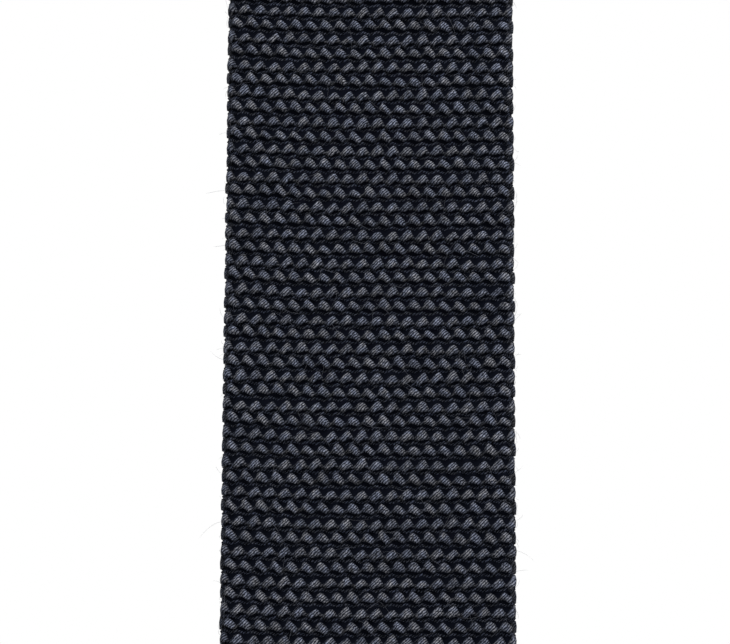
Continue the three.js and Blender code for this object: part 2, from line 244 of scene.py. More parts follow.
def course_rings(stations, stitches, seed, samples=7, first=0, bow=(0.0, 0.0), fine=1.0):
    """Rings of yarn, one a station. The yarn's middle follows the pressed outline. At each stitch it stands
    out and is thick: its height is half an ellipse over the stitch. Between stitches it dips, thins from its
    top and sinks, so that a course joins up along its bottom. It leans by a sine, down to the right in one
    course and up to the right in the next. Every other course is half a stitch round. Round the cloth's two
    edges the yarn is fuller and squarer, so that the courses close up."""
    rng = np.random.default_rng(seed)
    count = len(stations["centre"])
    turn = np.arange(stitches * samples)[None, :] / (stitches * samples)
    row = np.arange(count)[:, None]
    odd = (row + first) % 2
    phase = turn * stitches + 0.5 * odd
    along = phase - np.round(phase)
    away = 2 * np.abs(along)
    peak = np.sqrt(np.clip(1 - (away / BUMP_SHARE) ** 2, 0, 1))
    stitch = np.round(phase).astype(int) % stitches
    width, thickness = stations["width"][:, None], stations["thickness"][:, None]
    outline = pressed_ring(turn + 0 * row, width, np.maximum(thickness - GROUND_DEPTH * fine, THINNEST))
    x, _, nx, _ = outline
    edge = EDGE_FULLNESS * nx ** 2
    swell = 1 - away ** BUMP_POWER * (1 - edge)

    def uneven(amount):
        return np.take_along_axis(rng.normal(0, amount, (count, stitches)), stitch, 1) * swell

    room = (2 * width + ROUND_EDGES * thickness) / stitches / OPEN_STITCH / fine
    room = np.clip(room, LEAST_ROOM, MOST_ROOM)
    pitch = stations["pitch"] / COURSE_PITCH
    half_height = GAP_HALF_HEIGHT + (BUMP_HALF_HEIGHT - GAP_HALF_HEIGHT) * peak
    half_height = (half_height + uneven(UNEVEN_HEIGHT)) * pitch
    half_height += (EDGE_HALF_HEIGHT * pitch - half_height) * edge
    half_depth = GAP_HALF_DEPTH + (BUMP_HALF_DEPTH - GAP_HALF_DEPTH) * swell
    half_depth = half_depth * (CROWDED_DEPTH + (1 - CROWDED_DEPTH) * room) * fine
    set_out = -GAP_SET_IN + (BUMP_SET_OUT + GAP_SET_IN) * swell + uneven(UNEVEN_SET_OUT)
    set_out = (set_out - EDGE_SET_IN * nx ** 2) * fine
    sink = (BUMP_HALF_HEIGHT * pitch - half_height) * GAP_SINK * (1 - edge)
    drop = sink + uneven(UNEVEN_DROP) * fine - edge_lift(x, width, bow)
    lean = (np.where(odd == 1, -BUMP_LEAN, BUMP_LEAN) + uneven(UNEVEN_LEAN)) * np.sin(2 * math.pi * along)
    shift = np.where(odd == 1, COURSE_SHIFT, -COURSE_SHIFT)
    start = rng.uniform(0, 2 * math.pi, (count, 1))
    sway = COURSE_SWAY * np.sin(turn * 2 * math.pi * COURSE_SWAYS + start)
    drop = drop + (lean + shift + sway) * fine

    even = 2 * math.pi * np.arange(YARN_SIDES) / YARN_SIDES
    angle = even - FRONT_CROWDING * np.sin(even)
    cos, sin = np.cos(angle), np.sin(angle)
    squarer = np.sign(cos) * np.abs(cos) ** (1 - EDGE_SQUARENESS * edge[..., None])
    out_part = half_depth[..., None] * (squarer + SECTION_SLANT * sin * (1 - edge[..., None]))
    down_part = half_height[..., None] * sin
    points = yarn_points(stations, outline, set_out, drop, out_part, down_part)
    lie = row[..., None] + (drop[..., None] + down_part) / stations["pitch"]
    # Painted shade, stored on each point for the colour: the gaps between bumps keep GAP_SHOWN of the light,
    # the cloth's rounded edges lose EDGE_SHADE by the square of the outline's sideways normal, and the yarn's
    # sides keep from SIDE_SHOWN at the back to all of it at the front. It stands in for the shade the bumps
    # cast on their sides and between them.
    shown = (GAP_SHOWN + (1 - GAP_SHOWN) * peak) * (1 - EDGE_SHADE * nx ** 2)
    painted_shade = shown[..., None] * np.clip(SIDE_SHOWN + (1 - SIDE_SHOWN) * cos, 0, 1)
    return points, lie, painted_shade


LOOP_SAMPLES = 2
LOOP_SIDES = 4
LOOP_HALF_HEIGHT = 0.00070
LOOP_HALF_DEPTH = 0.00055
LOOP_SET_IN = 0.00095
LOOP_EDGE_EASE = 0.4
LOOP_SWAY = 0.00022
UNEVEN_LOOP = 0.00004


def loop_rings(stations, stitches, seed, first=0, bow=(0.0, 0.0), fine=1.0):
    """The backs of the loops, which lie low between the courses: rings half a pitch further down, that sway
    up and down by a cosine of the stitch phase."""
    rng = np.random.default_rng(seed)
    steps = stitches * LOOP_SAMPLES
    row = np.arange(len(stations["centre"]))[:, None]
    turn = np.arange(steps)[None, :] / steps + 0.0 * row
    phase = turn * stitches + 0.5 * ((row + first) % 2)
    width, thickness = stations["width"][:, None], stations["thickness"][:, None]
    outline = pressed_ring(turn, width, np.maximum(thickness - GROUND_DEPTH * fine, THINNEST))
    x, _, nx, _ = outline
    sway = LOOP_SWAY * np.cos(2 * math.pi * phase) + rng.normal(0, UNEVEN_LOOP, turn.shape)
    drop = stations["pitch"] / 2 - edge_lift(x, width, bow) + sway * fine
    set_in = LOOP_SET_IN * (1 - LOOP_EDGE_EASE * nx ** 2) * fine
    angle = 2 * math.pi * np.arange(LOOP_SIDES) / LOOP_SIDES
    out_part = LOOP_HALF_DEPTH * fine * np.cos(angle)
    down_part = LOOP_HALF_HEIGHT * fine * np.sin(angle)
    points = yarn_points(stations, outline, -set_in, drop, out_part, down_part)
    lie = row[..., None] + (drop[..., None] + down_part) / stations["pitch"]
    return points, lie


COURSES_A_PIECE = 36


def courses(name, stations, stitches, seed, body, samples=7, first=0, bow=(0.0, 0.0), shape=None, blend=None,
            fine=1.0):
    """The yarn courses of one stretch of cloth, in pieces of a few dozen courses, and the backs of their
    loops. `shape` moves the points."""
    points, lie, painted_shade = course_rings(stations, stitches, seed, samples, first, bow, fine)
    backs, backs_lie = loop_rings(stations, stitches, seed + 1, first, bow, fine)
    if shape is not None:
        points, backs = shape(points), shape(backs)
    turned = faces_turned(stations)
    loops = grid_mesh(f"{name}_loop_backs", backs, True, True, turned, uv=(1 / LOOP_SAMPLES, backs_lie),
                      rows_apart=True)
    # The loop backs take the darker yarn: painted shade for where they lie low between the courses.
    finish_cloth(loops, body, blend, shaded_loop_wool)
    made = [loops]
    for start in range(0, len(points), COURSES_A_PIECE):
        some = slice(start, start + COURSES_A_PIECE)
        piece = grid_mesh(f"{name}_courses_{start // COURSES_A_PIECE + 1}", points[some], True, True, turned,
                          uv=(1 / samples, lie[some]), rows_apart=True, painted_shade=painted_shade[some])
        finish_cloth(piece, body, blend, knit_wool)
        made.append(piece)
    return made


def finish_cloth(piece, body, blend, material):
    """The wool finish, and the body that the piece moves with; with a blend given, the piece is only fixed in
    world space and moves with no body.
    """
    piece.data.materials.append(material)
    if blend:
        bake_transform(piece)
    else:
        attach(piece, body)


END_RUN = 0.55


def ground(name, stations, body, columns=56, shape=None, blend=None, fine=1.0):
    """The closed ground that lies behind the bumps: the pressed outline, drawn in by the ground's depth, and
    run on at both ends to meet the next stretch."""
    depth = GROUND_DEPTH * fine
    width = stations["width"][:, None] - 0.5 * depth
    thickness = np.maximum(stations["thickness"][:, None] - 2 * depth, 0.5 * depth)
    x, y, _, _ = pressed_ring(np.arange(columns)[None, :] / columns + 0 * width, width, thickness)
    centre = stations["centre"].copy()
    centre[0] -= stations["down"][0] * stations["pitch"] * END_RUN
    centre[-1] += stations["down"][-1] * stations["pitch"] * END_RUN
    points = (centre[:, None, :] + stations["across"][:, None, :] * x[..., None]
              + stations["through"][:, None, :] * y[..., None])
    if shape is not None:
        points = shape(points)
    piece = grid_mesh(f"{name}_ground", points, False, True, not faces_turned(stations), caps=True)
    # The ground's finish is painted shade: the yarn's colour taken near to black.
    finish_cloth(piece, body, blend, shaded_ground_wool)
    return piece


def knit_cloth(name, node, stations, stitches, seed, body, flat, held, rests_on, columns=56, hairy=True,
               **ways):
    """A stretch of the knit tube: its ground and its courses, which take the place of its node.
    Where cloth slides on cloth it isn't hairy."""
    shared = {key: ways[key] for key in ("shape", "blend", "fine") if key in ways}
    made = courses(name, stations, stitches, seed, body, **ways)
    if hairy:
        made.append(stray_fibres(name, stations, seed + 2, body, ways.get("shape"), ways.get("blend")))
    base = ground(name, stations, body, columns, **shared)
    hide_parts(node)
FIBRES_A_COURSE = 9
FIBRE_RADIUS = 0.000022
FIBRE_ARCH = 0.0003
FIBRE_SCATTER = 0.0014
FIBRE_BEND = 0.5
EDGE_FIBRES = 0.3
EDGE_TURN_SPREAD = 0.012
EDGE_FIBRE_LENGTHS = (0.0008, 0.0026)
FACE_FIBRE_LENGTHS = (0.0015, 0.0065)
EDGE_FIBRE_RISE = (0.2, 1.2)
FACE_FIBRE_RISE = 0.03
EDGE_ROOT = -0.0004
FACE_ROOT = 0.00012


def stray_fibres(name, stations, seed, body, shape=None, blend=None):
    """Loose hairs of wool that lie over the bumps and stick out at the edges. Each is a thin three-sided tube
    along start + heading x length x t + bend x length x t squared, lifted in its middle."""
    rng = np.random.default_rng(seed)
    count = len(stations["centre"]) * FIBRES_A_COURSE
    row = rng.integers(0, len(stations["centre"]), count)
    near_edge = rng.random(count) < EDGE_FIBRES
    width, thickness = stations["width"][row], stations["thickness"][row]
    side_turn = np.where(rng.random(count) < 0.5, 0.25, 0.75) + rng.normal(0, EDGE_TURN_SPREAD, count)
    turn = np.where(near_edge, side_turn, rng.random(count)) % 1.0
    x, y, nx, ny = (part[:, None] for part in pressed_ring(turn, width, thickness))
    a, n, d = (stations[key][row] for key in ("across", "through", "down"))
    outward = unit(a * nx + n * ny)
    angle = rng.uniform(0, 2 * math.pi, count)[:, None]
    heading = np.cross(outward, d) * np.cos(angle) + d * np.sin(angle)
    rise = np.where(near_edge, rng.uniform(*EDGE_FIBRE_RISE, count), FACE_FIBRE_RISE)
    heading = unit(heading + outward * rise[:, None])
    bend = unit(np.cross(heading, outward)) * rng.normal(0, FIBRE_BEND, count)[:, None]
    long = np.where(near_edge, rng.uniform(*EDGE_FIBRE_LENGTHS, count),
                    rng.uniform(*FACE_FIBRE_LENGTHS, count))
    scatter = rng.uniform(-FIBRE_SCATTER, FIBRE_SCATTER, count)[:, None]
    root = np.where(near_edge, EDGE_ROOT, FACE_ROOT)[:, None]
    start = stations["centre"][row] + a * x + n * y + d * scatter + outward * root
    t = np.linspace(0, 1, 7)[None, :, None]
    long = long[:, None, None]
    line = (start[:, None] + heading[:, None] * (long * t) + bend[:, None] * (long * t ** 2)
            + outward[:, None] * (FIBRE_ARCH * 4 * t * (1 - t)))
    ring = (2 * math.pi * np.arange(3) / 3)[:, None]
    radius = FIBRE_RADIUS * np.sqrt(np.clip(1.02 - np.abs(2 * t[..., None] - 1) ** 3, 0.02, 1))
    beside = np.cross(heading, outward)
    points = line[:, :, None] + radius * (outward[:, None, None] * np.cos(ring)
                                          + beside[:, None, None] * np.sin(ring))
    if shape is not None:
        points = shape(points)
    piece = grid_mesh(f"{name}_stray_fibres", points, False, True, True, caps=True, rows_apart=True)
    finish_cloth(piece, body, blend, fibre_wool)
    return piece


def new_material(name, **sockets):
    """A Principled material with plain values on its own sockets."""
    material = bpy.data.materials.new(name)
    material.use_nodes = True
    shader = material.node_tree.nodes["Principled BSDF"]
    for label, value in sockets.items():
        shader.inputs[label.replace("_", " ")].default_value = value
    return material, material.node_tree, shader


def add_node(tree, kind, settings=None, **inputs):
    """A node, with its settings and its inputs by name or, as i0, i1 and on, by number. An input is a value
    or another node's socket."""
    node = tree.nodes.new(kind)
    for key, value in (settings or {}).items():
        setattr(node, key, value)
    for label, value in inputs.items():
        numbered = label[0] == "i" and label[1:].isdigit()
        socket = node.inputs[int(label[1:]) if numbered else label.replace("_", " ")]
        if isinstance(value, bpy.types.NodeSocket):
            tree.links.new(value, socket)
        else:
            socket.default_value = value
    return node


def math_node(tree, operation, *values):
    """A Math node's result."""
    return add_node(tree, "ShaderNodeMath", {"operation": operation},
                    **{f"i{i}": value for i, value in enumerate(values)}).outputs[0]


def noise(tree, place, scale, detail):
    """Noise on the piece's own coordinates."""
    return add_node(tree, "ShaderNodeTexNoise", Vector=place.outputs["Object"], Scale=scale,
                    Detail=detail).outputs["Fac"]


def remapped(tree, value, low, high, new_low, new_high):
    """A value moved from one range to another, and held at the ends of the new one."""
    return add_node(tree, "ShaderNodeMapRange", i0=value, i1=low, i2=high, i3=new_low, i4=new_high).outputs[0]


def mixed(tree, share, first, second):
    """A colour that goes from the first to the second with the share."""
    return add_node(tree, "ShaderNodeMix", {"data_type": "RGBA"}, i0=share, i6=first, i7=second).outputs[2]


STRANDS_A_STITCH = 4.5
STRANDS_A_COURSE = 4.5
STRAND_WANDER = 1.0
STRAND_KINKS = 0.9
STRAND_POWER = 1.5
STRAND_RELIEF = 0.00024
FIBRE_RELIEF = 0.5


def plied_strands_group():
    """Shader group: the strands that the yarn is plied from, as ridges that rise to the right across the
    cloth. The ridge is a power of the sine of strands a stitch times the way round plus strands a course
    times the way down."""
    group = bpy.data.node_groups.new("plied_strands", "ShaderNodeTree")
    for label in ("Strands A Stitch", "Strands A Course"):
        group.interface.new_socket(label, in_out="INPUT", socket_type="NodeSocketFloat")
    for label in ("Ridge", "Fibre"):
        group.interface.new_socket(label, in_out="OUTPUT", socket_type="NodeSocketFloat")
    inside, outside = group.nodes.new("NodeGroupInput"), group.nodes.new("NodeGroupOutput")
    place = group.nodes.new("ShaderNodeTexCoord")
    split = add_node(group, "ShaderNodeSeparateXYZ", i0=place.outputs["UV"])
    along_part = math_node(group, "MULTIPLY", split.outputs["X"], inside.outputs["Strands A Stitch"])
    down_part = math_node(group, "MULTIPLY", split.outputs["Y"], inside.outputs["Strands A Course"])
    wander = math_node(group, "MULTIPLY", noise(group, place, 380.0, 2.0), STRAND_WANDER)
    kinks = math_node(group, "MULTIPLY", noise(group, place, 1500.0, 1.0), STRAND_KINKS)
    phase = math_node(group, "ADD", math_node(group, "ADD", down_part, along_part),
                      math_node(group, "ADD", wander, kinks))
    wave = math_node(group, "SINE", math_node(group, "MULTIPLY", phase, math.pi))
    ridge = math_node(group, "POWER", math_node(group, "ABSOLUTE", wave), STRAND_POWER)
    group.links.new(ridge, outside.inputs["Ridge"])
    group.links.new(noise(group, place, 2300.0, 3.0), outside.inputs["Fibre"])
    return group


GREYER_WOOL = (1.1, 1.0, 0.82, 1)
UNEVEN_DYE = 0.32
WOOL_SHEEN = (0.6, 0.7, 1.0, 1)


def wool_material(name, groove, ridge_colour, uses_painted_shade):
    """Wool yarn, lighter on the strands and painted shade between them, with uneven dye, some greyer wool and
    a fine grain. Where asked, the points' painted shade makes the crowns of the bumps lighter than their
    sides."""
    material, tree, shader = new_material(name, Roughness=0.8, Sheen_Weight=0.03, Sheen_Roughness=0.4,
                                          Sheen_Tint=WOOL_SHEEN, Specular_IOR_Level=0.06)
    strands = tree.nodes.new("ShaderNodeGroup")
    strands.node_tree = strands_group
    strands.inputs["Strands A Stitch"].default_value = STRANDS_A_STITCH
    strands.inputs["Strands A Course"].default_value = STRANDS_A_COURSE
    ridge, fibre = strands.outputs["Ridge"], strands.outputs["Fibre"]
    place = tree.nodes.new("ShaderNodeTexCoord")
    greyer = tuple(part * share for part, share in zip(ridge_colour, GREYER_WOOL))
    grey_part = remapped(tree, noise(tree, place, 520.0, 2.0), 0.4, 0.62, 0.0, 1.0)
    light = remapped(tree, ridge, 0.25, 0.9, 0.0, 1.0)
    # The groove colour between the strands is painted shade.
    base = mixed(tree, light, groove, mixed(tree, grey_part, ridge_colour, greyer))
    grain = remapped(tree, fibre, 0.35, 0.65, 0.35, 1.6)
    dye = remapped(tree, noise(tree, place, 260.0, 3.0), 0.3, 0.7, 1 - UNEVEN_DYE, 1 + UNEVEN_DYE)
    gain = math_node(tree, "MULTIPLY", grain, dye)
    # Painted shade on the bumps from the points' attribute: darker in the gaps, on the yarn's sides and at the
    # cloth's edges, lighter on the crowns.
    if uses_painted_shade:
        painted_shade = add_node(tree, "ShaderNodeAttribute", {"attribute_name": "painted_shade"}).outputs["Fac"]
        gain = math_node(tree, "MULTIPLY", gain, remapped(tree, painted_shade, 0.1, 0.85, 0.10, 1.15))
    colour = add_node(tree, "ShaderNodeVectorMath", {"operation": "SCALE"}, i0=base, Scale=gain)
    tree.links.new(colour.outputs[0], shader.inputs["Base Color"])
    height = math_node(tree, "ADD", ridge, math_node(tree, "MULTIPLY", fibre, FIBRE_RELIEF))
    bump = add_node(tree, "ShaderNodeBump", Strength=1.0, Distance=STRAND_RELIEF, Height=height)
    tree.links.new(bump.outputs[0], shader.inputs["Normal"])
    return material


strands_group = plied_strands_group()
knit_wool = wool_material("knit_wool", (0.0090, 0.0112, 0.0190, 1), (0.123, 0.137, 0.183, 1), True)
# A darker copy of the knit yarn: painted shade for the loop backs that lie low between the courses.
shaded_loop_wool = wool_material("shaded_loop_wool", (0.0020, 0.0028, 0.0052, 1), (0.038, 0.045, 0.070, 1), False)
# The yarn taken near to black: painted shade for the ground behind the bumps, seen in the gaps between the
# courses.
shaded_ground_wool, _, _ = new_material("shaded_ground_wool", Base_Color=(0.0025, 0.0032, 0.0065, 1), Roughness=1.0,
                                 Specular_IOR_Level=0.05)
fibre_wool, _, _ = new_material("fibre_wool", Base_Color=(0.085, 0.09, 0.11, 1), Roughness=0.8)

BLADE_BOW = (0.0008, 0.0003)
blade_low, blade_high = (np.array(c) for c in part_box("front_blade_knit"))
blade_y = (blade_low[1] + blade_high[1]) / 2
blade_width = blade_high[0] - blade_low[0]
cloth_thickness = blade_high[1] - blade_low[1]
blade_stations = course_stations([(0, blade_y, blade_high[2]), (0, blade_y, blade_low[2])], BACK, RIGHT,
                                 blade_width, cloth_thickness)
knit_cloth("front_blade", "front_blade_knit", blade_stations, BLADE_STITCHES, 11, "front_blade",
           (blade_width, blade_high[2] - blade_low[2]), "hung", ["knot_outer_wrap"], bow=BLADE_BOW)

# Square end of the blade. The last course is drawn together and linked shut, so the tube closes to a narrow
# edge of small chained stitches; the turned-in hem stays hidden inside.
END_THICKNESSES = (0.0034, 0.0018)
END_SET_INS = (0.0008, 0.0030)
END_DROPS = (-0.0006, 0.0009)
END_FULLNESS = 1.4
END_FINENESS = 0.62
THREAD_SAMPLES = 6


def thread_rings(name, node, stations, stitches, seed, body, fine, material):
    """Rings of thread round a line of stations, with one small bump a stitch, in place of a node."""
    points, lie, painted_shade = course_rings(stations, stitches, seed, THREAD_SAMPLES, fine=fine)
    piece = grid_mesh(name, points, True, True, faces_turned(stations), uv=(1 / THREAD_SAMPLES, lie),
                      rows_apart=True, painted_shade=painted_shade)
    piece.data.materials.append(material)
    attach(piece, body)
    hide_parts(node)


def linked_end(name, node, y, width, end_z, stitches, seed, body):
    """Two closing rings of finer yarn at a tube's square end, each thinner through than the last."""
    stations = {"centre": np.array([[0, y, end_z - drop] for drop in END_DROPS]),
                "across": np.array([RIGHT] * 2), "through": np.array([BACK] * 2),
                "down": -np.array([UP] * 2), "pitch": (END_DROPS[1] - END_DROPS[0]) * END_FULLNESS,
                "width": width - np.array(END_SET_INS), "thickness": np.array(END_THICKNESSES)}
    thread_rings(name, node, stations, stitches, seed, body, END_FINENESS, knit_wool)


linked_end("front_blade_linking", "front_blade_linking_thread", blade_y, blade_width, blade_low[2],
           BLADE_STITCHES + 8, 13, "front_blade")

# Gathered stretch of the blade under the knot. The tube is squeezed where it leaves the knot, with a dimple
# down its middle, and opens to its full width over a hand's breadth.
GATHER_MOUTH_WIDTH = 0.031
GATHER_OPENING = 1.1
GATHER_SAMPLES = 40
BLADE_RUN_IN = 0.010
RUN_IN_SQUEEZE = 0.003
DIMPLE_DEPTH = 0.0046
DIMPLE_SAG = 0.0022
DIMPLE_HALF_WIDTH = 0.62
DIMPLE_REACH = 1.4
DIMPLE_FADE = 1.6
BEND_LENGTH = 0.038


def hanging_gather(node, mouth_width, full_width, thickness, run_in):
    """Stations of a gathered stretch: the width opens by a power of a quarter sine from the mouth, and the
    stretch begins `run_in` up inside the knot."""
    low, high = (np.array(c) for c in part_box(node))
    t = np.linspace(0, 1, GATHER_SAMPLES)
    z = np.concatenate([[high[2] + run_in], high[2] + (low[2] - high[2]) * t])
    open_width = mouth_width + (full_width - mouth_width) * np.sin(math.pi / 2 * t) ** GATHER_OPENING
    width = np.concatenate([[mouth_width - RUN_IN_SQUEEZE], open_width])
    line = np.stack([0 * z, 0 * z + (low[1] + high[1]) / 2, z], axis=1)
    return course_stations(line, BACK, RIGHT, width, thickness)


gather_low, gather_high = (np.array(c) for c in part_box("front_blade_gather"))


def dimpled(points):
    """The middle of the cloth falls back and its sides roll forward, by a cosine across that fades with the
    way down from the knot."""
    rise = np.clip((points[..., 2] - gather_low[2]) / (gather_high[2] - gather_low[2]), 0, 1)
    across = np.clip(points[..., 0] / (GATHER_MOUTH_WIDTH * DIMPLE_HALF_WIDTH), -DIMPLE_REACH, DIMPLE_REACH)
    moved = points.copy()
    dip = rise ** DIMPLE_FADE * np.cos(math.pi * across) * np.clip(DIMPLE_REACH - np.abs(across), 0, 1)
    moved[..., 1] += DIMPLE_DEPTH * dip
    moved[..., 2] -= DIMPLE_SAG * dip
    return moved


gather_stations = hanging_gather("front_blade_gather", GATHER_MOUTH_WIDTH, blade_width, cloth_thickness,
                                 BLADE_RUN_IN)
bend = ("knot", "front_blade", (0, blade_y, gather_high[2]), (0, blade_y, gather_high[2] - BEND_LENGTH))
knit_cloth("blade_gather", "front_blade_gather", gather_stations, BLADE_STITCHES, 17, "front_blade",
           (blade_width, gather_high[2] - gather_low[2]), "gathered", ["knot_outer_wrap"], first=1,
           shape=dimpled, blend=bend)

# Tail. The same tube, knitted narrower; it hangs behind the blade, through the keeper, and its gathered top
# runs up into the knot.
TAIL_STITCHES = 32
TAIL_MOUTH_WIDTH = 0.024
TAIL_RUN_IN = 0.003
tail_low, tail_high = (np.array(c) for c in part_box("tail_knit"))
tail_y = (tail_low[1] + tail_high[1]) / 2
tail_width = tail_high[0] - tail_low[0]
tail_stations = course_stations([(0, tail_y, tail_high[2]), (0, tail_y, tail_low[2])], BACK, RIGHT,
                                tail_width, cloth_thickness)
knit_cloth("tail", "tail_knit", tail_stations, TAIL_STITCHES, 23, "tail",
           (tail_width, tail_high[2] - tail_low[2]), "hung", ["knot_outer_wrap"], hairy=False, samples=5)
linked_end("tail_linking", "tail_linking_thread", tail_y, tail_width, tail_low[2], TAIL_STITCHES + 6, 25,
           "tail")

tail_gather_low, tail_gather_high = (np.array(c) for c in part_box("tail_gather"))
tail_gather = hanging_gather("tail_gather", TAIL_MOUTH_WIDTH, tail_width, cloth_thickness, TAIL_RUN_IN)
feed = ("front_blade", "tail", (0, tail_y, tail_gather_high[2]), (0, tail_y, tail_gather_low[2]))
knit_cloth("tail_gather", "tail_gather", tail_gather, TAIL_STITCHES, 29, "front_blade",
           (tail_width, tail_gather_high[2] - tail_gather_low[2]), "gathered", ["knot_outer_wrap"], first=1,
           hairy=False, samples=5, blend=feed)

# Knot, outer wrap. The blade crosses the front of the knot and turns back along both sides; its two edges
# roll into the knot's top and bottom, and it is drawn in towards the mouth.
WRAP_STITCHES = 34
WRAP_HEIGHT = 0.0440
WRAP_THICKNESS = 0.0056
WRAP_TURN = math.radians(146)
WRAP_SQUARENESS = 0.78
WRAP_TOP_SCALE = 1.16
WRAP_MOUTH_SCALE = 0.84
WRAP_SLANT = 0.13
WRAP_SLANT_FADE = 0.012
WRAP_SWELL = 0.05
WRAP_ROLL = 0.22
WRAP_ROLL_START = 0.5
WRAP_ROLL_RUN = 0.55
WRAP_ROLL_ACROSS = 0.6
WRAP_SAMPLES = 200
WRAP_OUT = 0.0030
WRAP_FORWARD = 0.0010
KNOT_FORWARD = 0.0006
wrap_low, wrap_high = (np.array(c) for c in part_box("knot_outer_wrap"))
wrap_middle_z = (wrap_low[2] + wrap_high[2]) / 2
knot_y = tail_y - KNOT_FORWARD


def squared_turn(angles, half_width, half_depth):
    """A point on a rounded oval at an angle from the front: sine and cosine, each raised to a power."""
    s, c = np.sin(angles), np.cos(angles)
    x = half_width * np.sign(s) * np.abs(s) ** WRAP_SQUARENESS
    y = -half_depth * np.sign(c) * np.abs(c) ** WRAP_SQUARENESS
    return x, y


def wrap_line(turn_from, turn_to, half_width, half_depth, height, thickness):
    """Stations of a strip that goes round the knot, its width upright."""
    x, y = squared_turn(np.linspace(turn_from, turn_to, WRAP_SAMPLES), half_width, half_depth)
    line = np.stack([x, y + knot_y, 0 * x + wrap_middle_z], axis=1)
    return course_stations(line, np.stack([-x, -y, 0 * x], axis=1), UP, height, thickness)


def drawn_in(points):
    """The knot narrows towards its mouth, its crossing slants a little, its middle swells, and its upper and
    lower edges roll in by a square."""
    up = (points[..., 2] - wrap_middle_z) / (wrap_high[2] - wrap_middle_z)
    inside = np.clip(up, -1, 1)
    scale = (WRAP_TOP_SCALE + WRAP_MOUTH_SCALE) / 2 + (WRAP_TOP_SCALE - WRAP_MOUTH_SCALE) / 2 * inside
    swell = 1 + WRAP_SWELL * (1 - inside ** 2)
    roll = 1 - WRAP_ROLL * np.clip((np.abs(up) - WRAP_ROLL_START) / WRAP_ROLL_RUN, 0, 1) ** 2
    front = np.clip((knot_y - points[..., 1]) / WRAP_SLANT_FADE, 0, 1)
    moved = points.copy()
    moved[..., 2] += WRAP_SLANT * points[..., 0] * front
    moved[..., 0] *= scale * (1 - WRAP_ROLL_ACROSS + WRAP_ROLL_ACROSS * roll)
    moved[..., 1] = knot_y + (points[..., 1] - knot_y) * swell * roll
    return moved


outer_half_width = (wrap_high[0] - wrap_low[0]) / 2 / WRAP_TOP_SCALE - WRAP_THICKNESS / 2 + WRAP_OUT
outer_half_depth = knot_y - wrap_low[1] - WRAP_THICKNESS / 2 + WRAP_FORWARD
outer_wrap = wrap_line(-WRAP_TURN, WRAP_TURN, outer_half_width, outer_half_depth, WRAP_HEIGHT,
                       WRAP_THICKNESS)
knit_cloth("knot_outer", "knot_outer_wrap", outer_wrap, WRAP_STITCHES, 31, "knot",
           (WRAP_HEIGHT, outer_wrap["pitch"] * len(outer_wrap["centre"])), "folded", ["knot_inner_wrap"],
           shape=drawn_in)

# Knot, inside. The first crossing and the pass behind wrap the tail, which runs straight down through the
# middle.
INNER_STITCHES = 28
INNER_HEIGHT = 0.038
INNER_THICKNESS = 0.0044
INNER_TURNS = (math.radians(-200), math.radians(120))
INNER_EASE = 0.0006
INNER_FORWARD = 0.0016
PASSAGE_STITCHES = 18
PASSAGE_WIDTHS = (0.028, 0.027)
PASSAGE_FLAT_WIDTH = 0.034
PASSAGE_END_GAP = 0.001
inner_half_width = outer_half_width - WRAP_THICKNESS - INNER_EASE
inner_half_depth = outer_half_depth - 2 * WRAP_THICKNESS + INNER_FORWARD
inner_wrap = wrap_line(*INNER_TURNS, inner_half_width, inner_half_depth, INNER_HEIGHT, INNER_THICKNESS)
knit_cloth("knot_inner", "knot_inner_wrap", inner_wrap, INNER_STITCHES, 37, "knot",
           (INNER_HEIGHT, inner_wrap["pitch"] * len(inner_wrap["centre"])), "folded", ["knot_tail_passage"],
           hairy=False, samples=5, shape=drawn_in)
passage_low, passage_high = (np.array(c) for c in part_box("knot_tail_passage"))
passage_ends = [(0, tail_y, passage_high[2] - PASSAGE_END_GAP), (0, tail_y, passage_low[2] + PASSAGE_END_GAP)]
passage = course_stations(passage_ends, BACK, RIGHT, PASSAGE_WIDTHS, INNER_THICKNESS)
knit_cloth("knot_passage", "knot_tail_passage", passage, PASSAGE_STITCHES, 41, "knot",
           (PASSAGE_FLAT_WIDTH, passage_high[2] - passage_low[2]), "gathered", ["knot_inner_wrap"],
           hairy=False, samples=5)

# Knot, over fold. The blade rises behind the knot, turns over its top between the legs, and goes down behind
# the outer wrap to the mouth.
FOLD_STITCHES = 24
FOLD_BACK_WIDTH = 0.029
FOLD_WIDTHS = (FOLD_BACK_WIDTH, FOLD_BACK_WIDTH, 0.023, 0.029, 0.025)
FOLD_THICKNESS = 0.0052
FOLD_SET_IN = 0.0022
FOLD_START = 0.004
FOLD_SAMPLES = 30
fold_low, fold_high = (np.array(c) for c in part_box("knot_over_fold"))
fold_reach = (fold_high[1] - fold_low[1]) / 2 - FOLD_SET_IN
fold_turn_z = fold_high[2] - FOLD_SET_IN - fold_reach
rise_z = np.linspace(wrap_low[2] + FOLD_START, fold_turn_z, FOLD_SAMPLES)
turn_angle = np.linspace(0, math.pi, 40)[1:-1]
fall_z = np.linspace(fold_turn_z, wrap_low[2], FOLD_SAMPLES)
fold_z = np.concatenate([rise_z, fold_turn_z + fold_reach * np.sin(turn_angle), fall_z])
fold_cos = np.concatenate([0 * rise_z + 1, np.cos(turn_angle), 0 * fall_z - 1])
fold_sin = np.concatenate([0 * rise_z, np.sin(turn_angle), 0 * fall_z])
fold_line = np.stack([0 * fold_z, tail_y + fold_reach * fold_cos, fold_z], axis=1)
fold_inward = np.stack([0 * fold_z, -fold_cos, -fold_sin], axis=1)
fold_share = np.linspace(0, 1, len(fold_z))
fold_width = np.interp(fold_share, np.linspace(0, 1, len(FOLD_WIDTHS)), FOLD_WIDTHS)
over_fold = course_stations(fold_line, fold_inward, RIGHT, fold_width, FOLD_THICKNESS)
